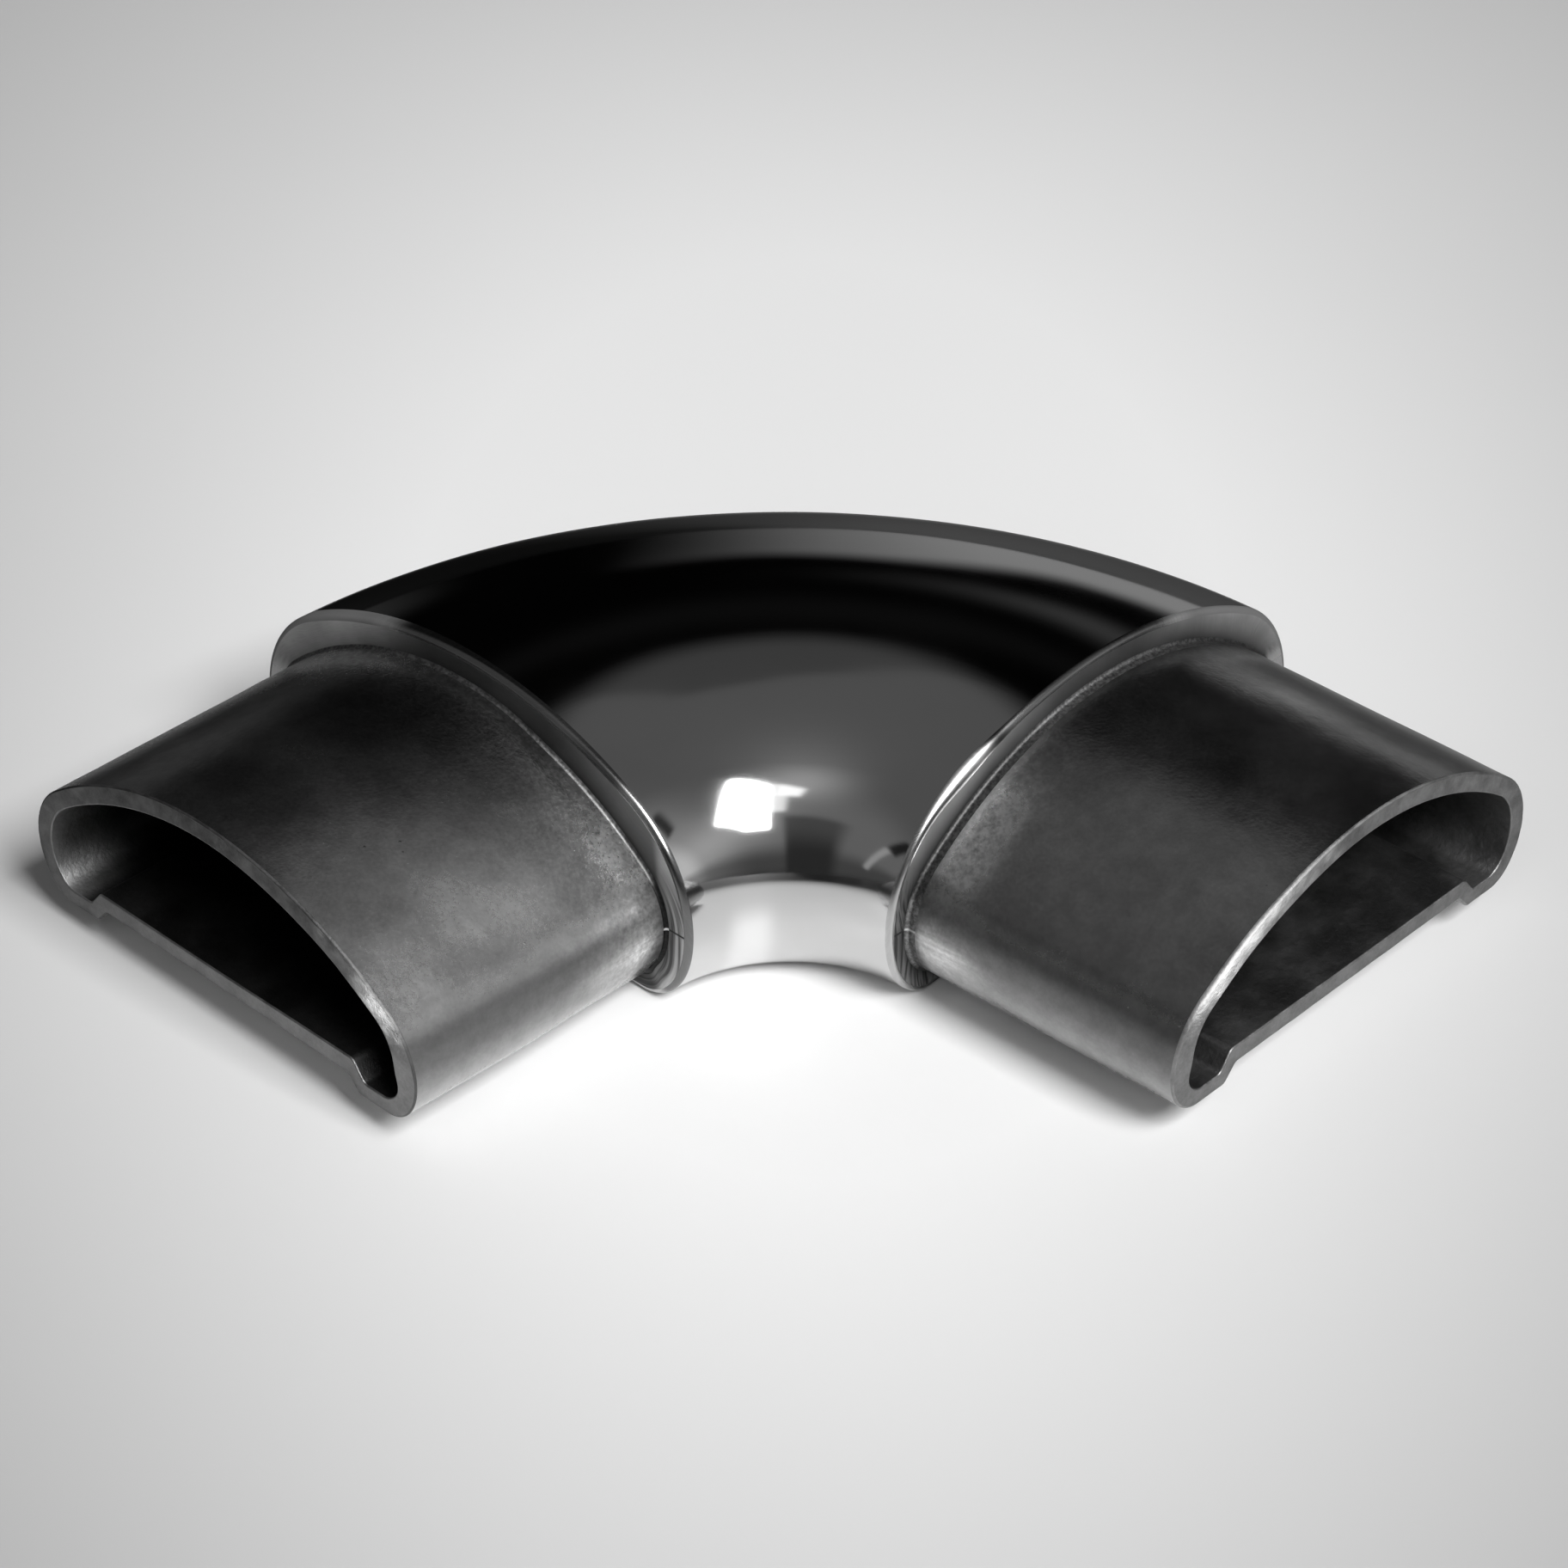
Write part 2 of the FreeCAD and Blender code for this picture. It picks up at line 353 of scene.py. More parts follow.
# ------------------------------------------------------------------ waviness
def waves(seed, count, short, long, size):
    """A smooth random field: its value and gradient at points in mm."""
    rng = np.random.default_rng(seed)
    d = rng.normal(size=(count, 3))
    d /= np.linalg.norm(d, axis=1)[:, None]
    k = d * (2 * math.pi / rng.uniform(short, long, count))[:, None]
    phase = rng.uniform(0, 2 * math.pi, count)
    amp = size * math.sqrt(2.0 / count)

    def field(p):
        a = p @ k.T + phase
        return amp * np.sin(a).sum(-1), amp * (np.cos(a) @ k)
    return field


def disturb(pos, nor, field, mask):
    """Moves points along their normals by a field, and tilts the normals to suit."""
    flat = pos.reshape(-1, 3)
    v, g = field(flat)
    v, g = v.reshape(pos.shape[:2]) * mask, g.reshape(pos.shape) * mask[..., None]
    tangent = g - (g * nor).sum(-1)[..., None] * nor
    n = nor - tangent
    return pos + v[..., None] * nor, n / np.linalg.norm(n, axis=-1)[..., None]


ones = np.ones((ROWS, COUNT))
base_pos, base_nor = POS, NOR
POS, NOR = disturb(POS, NOR, waves(3, 26, 11.0, 24.0, 0.010), POLISH * ones)
POS, NOR = disturb(POS, NOR, waves(5, 30, 6.0, 15.0, 0.016), CAST * ones)
POS, NOR = disturb(POS, NOR, waves(8, 36, 1.6, 3.4, 0.0022), CAST * ones)

# the cut end faces: uneven, always towards the inside
cut_field = waves(11, 40, 0.9, 4.0, 0.022)
v, g = cut_field(base_pos.reshape(-1, 3))
v = (v.reshape(ROWS, COUNT) - 0.05) * ROUGH
g = g.reshape(ROWS, COUNT, 3) * ROUGH[..., None]
axis = np.zeros_like(base_nor)
at_left = base_pos[..., 1] < CY - LENGTH + 2.0
at_right = base_pos[..., 0] > CX + LENGTH - 2.0
axis[at_left] = (0, -1, 0)
axis[at_right] = (1, 0, 0)
POS = POS + np.minimum(v, 0.0)[..., None] * axis
tangent = g - (g * NOR).sum(-1)[..., None] * NOR
NOR = NOR - tangent
NOR /= np.linalg.norm(NOR, axis=-1)[..., None]

# nothing may leave the box, and nothing may sink below the surface that the part lies on
POS[..., 2] = np.maximum(POS[..., 2], 0.0)
POS = np.clip(POS, (-43.5, -43.5, 0.0), (43.5, 43.5, 22.7))

# ------------------------------------------------------------------ mesh
j = np.arange(ROWS)[:, None]
i = np.arange(COUNT)[None, :]
jn, inx = (j + 1) % ROWS, (i + 1) % COUNT
quads = np.stack([np.broadcast_arrays(j * COUNT + i, j * COUNT + inx, jn * COUNT + inx, jn * COUNT + i)[k]
                  for k in range(4)], -1).reshape(-1, 4)
flat_pos, flat_nor = POS.reshape(-1, 3), NOR.reshape(-1, 3)
face_n = np.cross(flat_pos[quads[:, 2]] - flat_pos[quads[:, 0]], flat_pos[quads[:, 3]] - flat_pos[quads[:, 1]])
if (face_n * flat_nor[quads[:, 0]]).sum() < 0:
    quads = quads[:, ::-1]

mesh = bpy.data.meshes.new("elbow_casting")
mesh.vertices.add(len(flat_pos))
mesh.vertices.foreach_set("co", (flat_pos * MM).astype(np.float32).ravel())
mesh.loops.add(quads.size)
mesh.loops.foreach_set("vertex_index", quads.astype(np.int32).ravel())
mesh.polygons.add(len(quads))
mesh.polygons.foreach_set("loop_start", np.arange(0, quads.size, 4, dtype=np.int32))
mesh.polygons.foreach_set("material_index", np.repeat(ZONE, COUNT).astype(np.int32))
mesh.polygons.foreach_set("use_smooth", np.ones(len(quads), bool))
mesh.update(calc_edges=True)
mesh.validate()
mesh.normals_split_custom_set_from_vertices(flat_nor.astype(np.float32))

# lengths along the part and round its section, for marks that follow the metal
along = np.zeros((ROWS, COUNT))
along[1:] = np.cumsum(np.linalg.norm(np.diff(base_pos, axis=0), axis=2), 0)
around = np.zeros((ROWS, COUNT))
around[:, 1:] = np.cumsum(np.linalg.norm(np.diff(base_pos, axis=1), axis=2), 1)
flow = mesh.attributes.new("flow", "FLOAT_VECTOR", "POINT")
flow.data.foreach_set("vector", np.stack([along * MM, around * MM, along * 0], -1).astype(np.float32).ravel())



def rise(x, a, b):
    """0 at a, 1 at b, smooth between."""
    t = np.clip((x - a) / (b - a), 0.0, 1.0)
    return t * t * (3 - 2 * t)


# finish of the spigots, by the slope of the surface and the distance from the shoulder: the crown is worn smooth by
# rubbing and the flanks are dull, and the base colour holds painted light and shade by slope (darker flanks, lighter
# crown and underside), with buffing streaks and a painted highlight on the flanks next to the shoulder
lean = base_nor[..., 2]
reach = np.clip(np.maximum(CY - base_pos[..., 1], base_pos[..., 0] - CX), 0.0, LENGTH)
# the two ends differ a little in roughness and in the painted light and shade of their base colours: 0 at the left
# end, 1 at the right end
end = np.clip((base_pos[..., 0] + base_pos[..., 1] + 40.0) / 80.0, 0.0, 1.0)
left_side = end < 0.5
# buffed: a painted highlight on the flanks next to the shoulder, and where the buffing streaks go
buffed = np.exp(-((reach - np.where(left_side, 1.8, 3.2)) / np.where(left_side, 4.6, 3.2)) ** 2 - ((lean + 0.04) / 0.17) ** 2)
tone = np.interp(lean, (-0.6, 0.1, 0.3, 0.6, 1.0), (0.66, 0.23, 0.20, 0.37, 0.58)) * (1 + 1.5 * buffed)
dull = np.interp(lean, (-0.6, 0.0, 0.3, 0.5, 1.0), (0.27, 0.36, 0.35, 0.28, 0.23))
high = rise(lean, 0.1, 0.5)
# painted light and shade: the crowns and flanks of the two ends get different base colours
tone = tone * (high * (1.25 - 0.38 * end) + (1 - high) * (1.02 - 0.24 * end))
dull = dull + high * (0.02 - 0.03 * end)
at = np.broadcast_to(P_BEND[:, 0], lean.shape)           # across the section, from the inside of the turn
# the left spigot has a painted highlight further up next to the shoulder, and both are on the outside of the turn
near = np.exp(-(reach / 5.0) ** 2 - ((lean - 0.30) / 0.18) ** 2) * left_side * (at < 0)
tone = tone * (1 + 1.4 * near)
# a painted highlight on the right one, a little away from the shoulder, where the skin is also rougher and grainier,
# and painted shade right next to the shoulder
patch = np.exp(-((reach - 3.0) / 1.7) ** 2 - ((at + 16.5) / 3.6) ** 2) * ~left_side
tone = tone * (1 + 2.9 * patch) * (1 - 0.30 * np.exp(-(reach / 1.3) ** 2) * ~left_side * rise(lean, 0.4, 0.6))
# painted light and shade on the crowns, which differ a little along their length
crest = rise(lean, 0.88, 0.95)
tone = tone * (1 + crest * np.where(left_side, -0.5 * np.exp(-((reach - 7.0) / 6.0) ** 2), -0.25 + 0.45 * rise(reach, 5, 14)
                                  + 0.3 * (rise(reach, 4, 10) - rise(reach, 10, 15)) * rise(at, -6, -1)
                                  - 0.30 * rise(reach, 12, 17) * rise(at, 3, 8) + 0.6 * rise(reach, 14, 20) * rise(at, 2, -2) * rise(at, -8, -4)))
dull = dull + 0.10 * patch
# painted highlight: the left one is lighter half way along, towards the inside of the turn
tone = tone * (1 + 0.3 * np.exp(-((reach - 11.5) / 5.0) ** 2 - ((lean - 0.82) / 0.08) ** 2) * left_side * (at < 0))
wiped = np.exp(-((reach - 1.2) / 2.2) ** 2) * np.clip((at - 15.0) / 3.0, 0, 1) * np.clip((0.93 - lean) / 0.1, 0, 1)
tone = tone + (0.80 - tone) * wiped
dull = dull + (0.15 - dull) * wiped
# shoulders: the faced base colour carries painted light and shade, lighter next to the rim and down both sides and
# darker by the root; less polish on the crown of the right rim, painted shade on parts of both rims that shortens
# their highlights, and a painted highlight that makes the corner brighter towards the inside of the turn
section = np.stack([np.where(left_side, CX - R - base_pos[..., 0], base_pos[..., 1] - CY - R), base_pos[..., 2]], -1)
root = np.where(left_side[..., None], P_ROOT - SUNK[:, None] * N_ROOT, P_ROOT)
step = np.clip(np.linalg.norm(section - root, axis=-1) / np.linalg.norm(P_BEND - root, axis=-1), 0, 1)
faced = np.where(left_side, 0.24 + 0.50 * rise(at, -9, -19) + 2.2 * rise(at, 3, 15),
                 0.30 + 0.46 * rise(at, -3, -12) + 0.72 * rise(at, 3, 15)) * (0.88 + 0.25 * end)
deeper = np.where(left_side, 0.8 * rise(at, -8, -13), np.maximum(rise(at, -8, -13), 0.8 * rise(at, 5, 10)))
faced = faced * (0.55 - 0.40 * deeper + (0.85 + 0.45 * deeper) * step) * (1 + 1.9 * rise(at, -21.2, -22.6) * left_side)
# painted shade: the rims' base colour is darker along parts of both, which shortens their highlights
rim = 1 - rise(at, 9, 4) * np.where(left_side, rise(at, -18.8, -16.8) * (0.70 - 0.22 * rise(at, -15, -11)),
                                    0.62 * rise(at, -15, -12.5))
facing = np.where(left_side, -base_nor[..., 1], base_nor[..., 0])
rim = rim * (1 - 0.78 * rise(at, -24, -21) * rise(at, -12, -18) * ~left_side * rise(facing, 0.68, 0.88))
rim = rim * (1 - 0.75 * np.exp(-((at + 12.8) / 1.3) ** 2) * ~left_side)
rim = rim * (1 - 0.65 * rise(at, -21.8, -22.8) * left_side)
outer = rise(at, 6.5, 12)                                 # not polished on the outside of the turn
shiny = rise(at, 19.5, 22) * rise(base_pos[..., 2], 12.5, 10.5)
rim_dull = 0.25 + 0.16 * np.exp(-((at + 16.0) / 4.0) ** 2) * ~left_side
# painted highlight and shade: the corner's base colour changes by place across the section
corner = np.where(left_side, 0.05 + 0.22 * rise(at, -22.5, -20) + 0.25 * rise(at, -18, -15.2) * rise(at, -7, -10),
                  0.19 + 0.16 * rise(at, -10, -5) * rise(at, 14, 4) + 0.3 * rise(at, -22.5, -24))
# the hollow: darker in the left spigot, and a painted highlight by the mouth on the outside of the turn, strongest in
# the left one
mouth = np.exp(-((LENGTH - reach) / 4.5) ** 2) * np.clip((at - 15.0) / 4.0, 0, 1)
hollow = 0.06 + 0.14 * end + mouth * np.where(left_side, 0.40, 0.04)
# painted highlight: a strip low on the inside of the bend is a little brighter, a painted streak of reflected light
turn_deg = np.degrees(np.arctan2(base_pos[..., 1] - CY, CX - base_pos[..., 0]))
painted_streak = np.exp(-((turn_deg - 30.0) / 9.0) ** 4) * (reach <= 0) * np.clip((9.0 - base_pos[..., 2]) / 2.0, 0, 1)
painted_streak = painted_streak * np.clip((R - 18.0 - np.hypot(base_pos[..., 0] - CX, base_pos[..., 1] - CY)) / 3.0, 0, 1)
for name, values in (("painted_streak", painted_streak), ("faced", faced), ("rim", rim), ("rim_dull", rim_dull), ("outer", outer), ("shiny", shiny), ("corner", corner), ("hollow", hollow), ("tone", np.minimum(tone, 0.85)), ("dull", dull), ("buffed", buffed), ("end", end),
                     ("grainy", 0.55 + 0.45 * np.exp(-(reach / 6.0) ** 2) * (1 + 0.9 * left_side) + 0.6 * patch)):
    layer = mesh.attributes.new(name, "FLOAT", "POINT")
    layer.data.foreach_set("value", np.broadcast_to(values, lean.shape).astype(np.float32).ravel())

elbow = bpy.data.objects.new("elbow_casting", mesh)
bpy.context.scene.collection.objects.link(elbow)


# ------------------------------------------------------------------ node helpers
class Graph:
    def __init__(self, tree):
        self.tree = tree
        tree.nodes.clear()

    def node(self, kind, **values):
        n = self.tree.nodes.new(kind)
        for k, v in values.items():
            setattr(n, k, v)
        return n

    def put(self, socket, v):
        if isinstance(v, bpy.types.NodeSocket):
            self.tree.links.new(v, socket)
        else:
            socket.default_value = v

    def math(self, op, a, b=None, c=None, clamp=False):
        n = self.node("ShaderNodeMath", operation=op, use_clamp=clamp)
        for s, v in zip(n.inputs, (a, b, c)):
            if v is not None:
                self.put(s, v)
        return n.outputs[0]

    def add(self, a, b):
        return self.math("ADD", a, b)

    def sub(self, a, b):
        return self.math("SUBTRACT", a, b)

    def mul(self, a, *more):
        for b in more:
            a = self.math("MULTIPLY", a, b)
        return a

    def ramp(self, x, a, b, lo=0.0, hi=1.0, smooth=True):
        """lo below a, hi above b, smooth between."""
        n = self.node("ShaderNodeMapRange", interpolation_type="SMOOTHSTEP" if smooth else "LINEAR")
        n.clamp = True
        if a > b:
            a, b, lo, hi = b, a, hi, lo
        self.put(n.inputs["Value"], x)
        n.inputs["From Min"].default_value, n.inputs["From Max"].default_value = a, b
        self.put(n.inputs["To Min"], lo)
        self.put(n.inputs["To Max"], hi)
        return n.outputs["Result"]

    def dot(self, v, w):
        n = self.node("ShaderNodeVectorMath", operation="DOT_PRODUCT")
        self.put(n.inputs[0], v)
        n.inputs[1].default_value = w
        return n.outputs["Value"]

    def lerp(self, a, b, k):
        n = self.node("ShaderNodeMix", data_type="FLOAT", clamp_factor=True)
        self.put(n.inputs[0], k)
        self.put(n.inputs[2], a)
        self.put(n.inputs[3], b)
        return n.outputs[0]

    def noise(self, vec, scale, detail=2.0, rough=0.5, distortion=0.0):
        n = self.node("ShaderNodeTexNoise", noise_dimensions="3D")
        self.put(n.inputs["Vector"], vec)
        n.inputs["Scale"].default_value = scale
        n.inputs["Detail"].default_value = detail
        n.inputs["Roughness"].default_value = rough
        n.inputs["Distortion"].default_value = distortion
        return n.outputs["Fac"]

    def stretch(self, vec, scale):
        n = self.node("ShaderNodeVectorMath", operation="MULTIPLY")
        self.put(n.inputs[0], vec)
        n.inputs[1].default_value = scale
        return n.outputs[0]

    def dots(self, vec, scale, radius, share):
        """Sparse round dots: 1 in a dot. radius is a part of the spacing, share how many cells have one."""
        n = self.node("ShaderNodeTexVoronoi", feature="F1", voronoi_dimensions="3D")
        self.put(n.inputs["Vector"], vec)
        n.inputs["Scale"].default_value = scale
        sep = self.node("ShaderNodeSeparateColor")
        self.put(sep.inputs[0], n.outputs["Color"])
        some = self.ramp(sep.outputs[0], 1 - share - 0.002, 1 - share, smooth=False)
        size = self.ramp(sep.outputs[1], 0.0, 1.0, radius * 0.5, radius, smooth=False)
        inside = self.math("LESS_THAN", self.math("DIVIDE", n.outputs["Distance"], size), 1.0)
        dome = self.ramp(self.math("DIVIDE", n.outputs["Distance"], size), 1.0, 0.2)
        return self.mul(some, dome), self.mul(some, inside)

    def grey(self, v):
        n = self.node("ShaderNodeCombineColor")
        for s in n.inputs[:3]:
            self.put(s, v)
        return n.outputs[0]

    def bump(self, height, distance, strength=1.0, normal=None):
        n = self.node("ShaderNodeBump")
        n.inputs["Strength"].default_value = strength
        n.inputs["Distance"].default_value = distance
        self.put(n.inputs["Height"], height)
        if normal is not None:
            self.put(n.inputs["Normal"], normal)
        return n.outputs["Normal"]


def metal(name):
    m = bpy.data.materials.new(name)
    m.use_nodes = True
    g = Graph(m.node_tree)
    out = g.node("ShaderNodeOutputMaterial")
    bsdf = g.node("ShaderNodeBsdfPrincipled")
    bsdf.inputs["Metallic"].default_value = 1.0
    g.tree.links.new(bsdf.outputs[0], out.inputs["Surface"])
    turn = g.node("ShaderNodeVectorRotate", rotation_type="EULER_XYZ")
    turn.inputs["Rotation"].default_value = (0.61, 1.07, 0.37)
    g.put(turn.inputs["Vector"], g.node("ShaderNodeTexCoord").outputs["Object"])
    flow = g.node("ShaderNodeAttribute", attribute_name="flow").outputs["Vector"]
    return m, g, bsdf, turn.outputs[0], flow


def layer(g, name):
    return g.node("ShaderNodeAttribute", attribute_name=name).outputs["Fac"]


def seam(g):
    """1 on the parting line half way up the sides."""
    z = g.dot(g.node("ShaderNodeTexCoord").outputs["Object"], (0, 0, 1))
    return g.ramp(g.math("ABSOLUTE", g.sub(z, 0.0076)), 0.00016, 0.00003)


# ------------------------------------------------------------------ finishes
def polished_metal():
    m, g, b, where, flow = metal("polished_stainless")
    cloud = g.noise(where, 70.0, 3.0)
    hair = g.noise(g.stretch(flow, (160.0, 5200.0, 1.0)), 1.0, 3.0, 0.6)
    bump_dot, flat_dot = g.dots(where, 190.0, 0.026, 0.30)
    tone = g.ramp(cloud, 0.3, 0.7, 0.69, 0.74)
    # painted highlight: the strip low on the inside of the bend
    tone = g.lerp(tone, 0.88, layer(g, "painted_streak"))
    g.put(b.inputs["Base Color"], g.grey(g.lerp(tone, 0.86, flat_dot)))
    rough = g.add(g.ramp(cloud, 0.3, 0.7, 0.05, 0.085), g.mul(hair, 0.03))
    g.put(b.inputs["Roughness"], g.lerp(rough, 0.6, flat_dot))
    n = g.bump(hair, 0.0000006)
    g.put(b.inputs["Normal"], g.bump(bump_dot, 0.00003, normal=n))
    return m


def rim_metal():
    """The rounded rim of the bend: polished, with fine marks across it."""
    m, g, b, where, flow = metal("buffed_rim")
    mark = g.noise(g.stretch(flow, (500.0, 5200.0, 1.0)), 1.0, 3.0, 0.6)
    outer = layer(g, "outer")
    b.inputs["Specular IOR Level"].default_value = 0.25
    g.put(b.inputs["Metallic"], g.lerp(1.0, 0.4, outer))
    # the rim and faced attributes hold painted light and shade
    faced = g.mul(layer(g, "faced"), g.ramp(layer(g, "end"), 0.3, 0.7, 0.085, 0.115))
    g.put(b.inputs["Base Color"], g.grey(g.lerp(g.mul(g.ramp(mark, 0.35, 0.65, 0.54, 0.62), layer(g, "rim")), faced, outer)))
    g.put(b.inputs["Roughness"], g.lerp(g.add(layer(g, "rim_dull"), g.ramp(mark, 0.35, 0.65, -0.01, 0.01)), 0.54, outer))
    g.put(b.inputs["Normal"], g.bump(mark, 0.0000008))
    return m


def faced_metal():
    m, g, b, where, flow = metal("faced_shoulder")
    cloud = g.noise(where, 220.0, 3.0)
    hair = g.noise(g.stretch(flow, (7000.0, 500.0, 1.0)), 1.0, 3.0, 0.6)
    shiny = layer(g, "shiny")                  # the low outer corners
    g.put(b.inputs["Metallic"], g.lerp(0.4, 1.0, shiny))
    b.inputs["Specular IOR Level"].default_value = 0.25
    # the faced attribute holds painted light and shade
    tone = g.mul(g.ramp(cloud, 0.3, 0.7, 0.125, 0.17), g.add(g.mul(hair, 0.5), 0.75), layer(g, "faced"))
    # grooves that follow the rim, low down
    groove = g.noise(g.stretch(flow, (1900.0, 110.0, 1.0)), 1.0, 2.0)
    z = g.dot(g.node("ShaderNodeTexCoord").outputs["Object"], (0, 0, 1))
    tone = g.mul(tone, g.lerp(1.0, g.ramp(groove, 0.38, 0.60, 0.35, 1.6), g.ramp(z, 0.013, 0.009)))
    tone = g.lerp(tone, g.add(g.mul(hair, 0.1), 0.57), shiny)
    g.put(b.inputs["Base Color"], g.grey(g.lerp(tone, 0.03, seam(g))))
    g.put(b.inputs["Roughness"], g.lerp(g.add(g.ramp(cloud, 0.3, 0.7, 0.50, 0.58), g.mul(hair, 0.08)), 0.2, shiny))
    n = g.bump(hair, 0.000004)
    g.put(b.inputs["Normal"], g.bump(seam(g), 0.00005, normal=n))
    return m


def corner_metal():
    """The corner between spigot and shoulder: a painted highlight makes it brighter towards the inside of the turn,
    with the parting line across it.
    """
    m, g, b, where, flow = metal("root_corner")
    grain = g.noise(where, 3600.0, 3.0, 0.6)
    g.put(b.inputs["Base Color"], g.grey(g.lerp(g.mul(g.ramp(grain, 0.35, 0.65, 0.32, 0.68), layer(g, "corner")), 0.75, seam(g))))
    g.put(b.inputs["Roughness"], g.ramp(grain, 0.35, 0.65, 0.48, 0.58))
    g.put(b.inputs["Normal"], g.bump(grain, 0.00002))
    return m


def satin_metal():
    """Blasted casting skin."""
    m, g, b, where, flow = metal("blasted_spigot")
    cloud = g.noise(where, 120.0, 4.0)
    patch = g.noise(where, 620.0, 2.0)
    grain = g.noise(where, 3400.0, 3.0, 0.6)
    peel = g.noise(where, 1700.0, 2.0)
    coarse = g.noise(where, 1000.0, 2.0)
    streak = g.noise(g.stretch(flow, (110.0, 2400.0, 1.0)), 1.0, 3.0, 0.6)
    pip, pip_flat = g.dots(where, 420.0, 0.055, 0.6)
    grainy, buffed = layer(g, "grainy"), layer(g, "buffed")
    # the tone attribute holds painted light and shade, set by slope and place
    tone = g.mul(layer(g, "tone"), g.ramp(cloud, 0.3, 0.7, 0.94, 1.06), g.ramp(patch, 0.3, 0.7, 0.93, 1.07))
    tone = g.mul(tone, g.add(g.mul(g.sub(grain, 0.5), g.mul(grainy, 0.45)), 1.0))
    tone = g.mul(tone, g.add(g.mul(g.sub(peel, 0.5), g.mul(g.sub(grainy, 0.45), 1.2)), 1.0))
    tone = g.mul(tone, g.add(g.mul(g.sub(streak, 0.5), g.mul(buffed, 1.3)), 1.0))
    g.put(b.inputs["Base Color"], g.grey(g.lerp(tone, 0.45, pip_flat)))
    rough = g.add(layer(g, "dull"), g.add(g.ramp(cloud, 0.3, 0.7, -0.02, 0.02), g.mul(g.sub(grain, 0.5), 0.05)))
    g.put(b.inputs["Roughness"], rough)
    n = g.bump(g.mul(grain, grainy), 0.000016)
    n = g.bump(coarse, 0.00001, normal=n)
    n = g.bump(g.mul(streak, buffed), 0.00003, normal=n)
    g.put(b.inputs["Normal"], g.bump(pip, 0.000012, normal=n))
    return m


def cut_metal():
    m, g, b, where, flow = metal("cut_end_face")
    cloud = g.noise(where, 500.0, 4.0, 0.6)
    grain = g.noise(where, 3200.0, 4.0, 0.65)
    saw = g.noise(g.stretch(where, (700.0, 700.0, 5200.0)), 1.0, 3.0, 0.6)
    tone = g.add(g.ramp(cloud, 0.3, 0.7, 0.25, 0.35), g.mul(g.sub(grain, 0.5), 0.16))
    z = g.dot(g.node("ShaderNodeTexCoord").outputs["Object"], (0, 0, 1))
    # painted light and shade: the cut faces are darker low down and lighter high up
    g.put(b.inputs["Base Color"], g.grey(g.mul(tone, g.ramp(z, 0.004, 0.014, 0.82, 1.15))))
    g.put(b.inputs["Roughness"], g.ramp(cloud, 0.3, 0.7, 0.44, 0.54))
    n = g.bump(grain, 0.00003)
    g.put(b.inputs["Normal"], g.bump(saw, 0.00002, normal=n))
    return m


def edge_metal():
    """The ground outer edge of the end faces: brighter than the cut itself, and nicked."""
    m, g, b, where, flow = metal("ground_edge")
    cloud = g.noise(where, 420.0, 4.0, 0.6)
    grain = g.noise(where, 2400.0, 4.0, 0.65)
    tone = g.add(g.ramp(cloud, 0.3, 0.7, 0.26, 0.38), g.mul(g.sub(grain, 0.5), 0.2))
    # painted shade: the edge of the left end is darker, which dims its highlight
    g.put(b.inputs["Base Color"], g.grey(g.mul(tone, g.ramp(layer(g, "end"), 0.2, 0.8, 0.45, 1.0))))
    g.put(b.inputs["Roughness"], g.ramp(cloud, 0.3, 0.7, 0.48, 0.58))
    n = g.bump(grain, 0.00003)
    g.put(b.inputs["Normal"], g.bump(cloud, 0.00006, normal=n))
    return m


def inside_metal():
    m, g, b, where, flow = metal("cast_inside")
    cloud = g.noise(where, 160.0, 4.0, 0.6)
    grain = g.noise(where, 1900.0, 4.0, 0.65)
    tone = g.mul(g.ramp(cloud, 0.3, 0.7, 0.85, 1.15), g.add(g.mul(g.sub(grain, 0.5), 0.6), 1.0))
    # hollow holds a painted highlight by the mouth
    g.put(b.inputs["Base Color"], g.grey(g.mul(tone, layer(g, "hollow"))))
    g.put(b.inputs["Roughness"], g.ramp(cloud, 0.3, 0.7, 0.38, 0.5))
    g.put(b.inputs["Normal"], g.bump(grain, 0.00006))
    return m


for make in (polished_metal, satin_metal, faced_metal, cut_metal, inside_metal, edge_metal, rim_metal, corner_metal):
    mesh.materials.append(make())

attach(elbow, "root")
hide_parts("elbow_body")

# ------------------------------------------------------------------ camera
YAW, TILT, ROLL = math.radians(45.0 - 1.711323), math.radians(34.869193), math.radians(0.451286)
FOCAL_PX, FRAME_PX, SENSOR = 4550.812, 1824.0, 36.0
forward = np.array([-math.sin(YAW) * math.cos(TILT), math.cos(YAW) * math.cos(TILT), -math.sin(TILT)])
right = np.array([math.cos(YAW), math.sin(YAW), 0.0])
up = np.cross(right, forward)
cam_x = math.cos(ROLL) * right + math.sin(ROLL) * up
cam_y = -math.sin(ROLL) * right + math.cos(ROLL) * up
UNIT = 0.7495 * 25.0 / 24.8
aim = (right * -0.972428 + np.array([-math.sin(YAW), math.cos(YAW), 0.0]) * 52.704216) * UNIT + np.array([CX, CY, 0.0])
eye = aim - forward * 440.893507 * UNIT

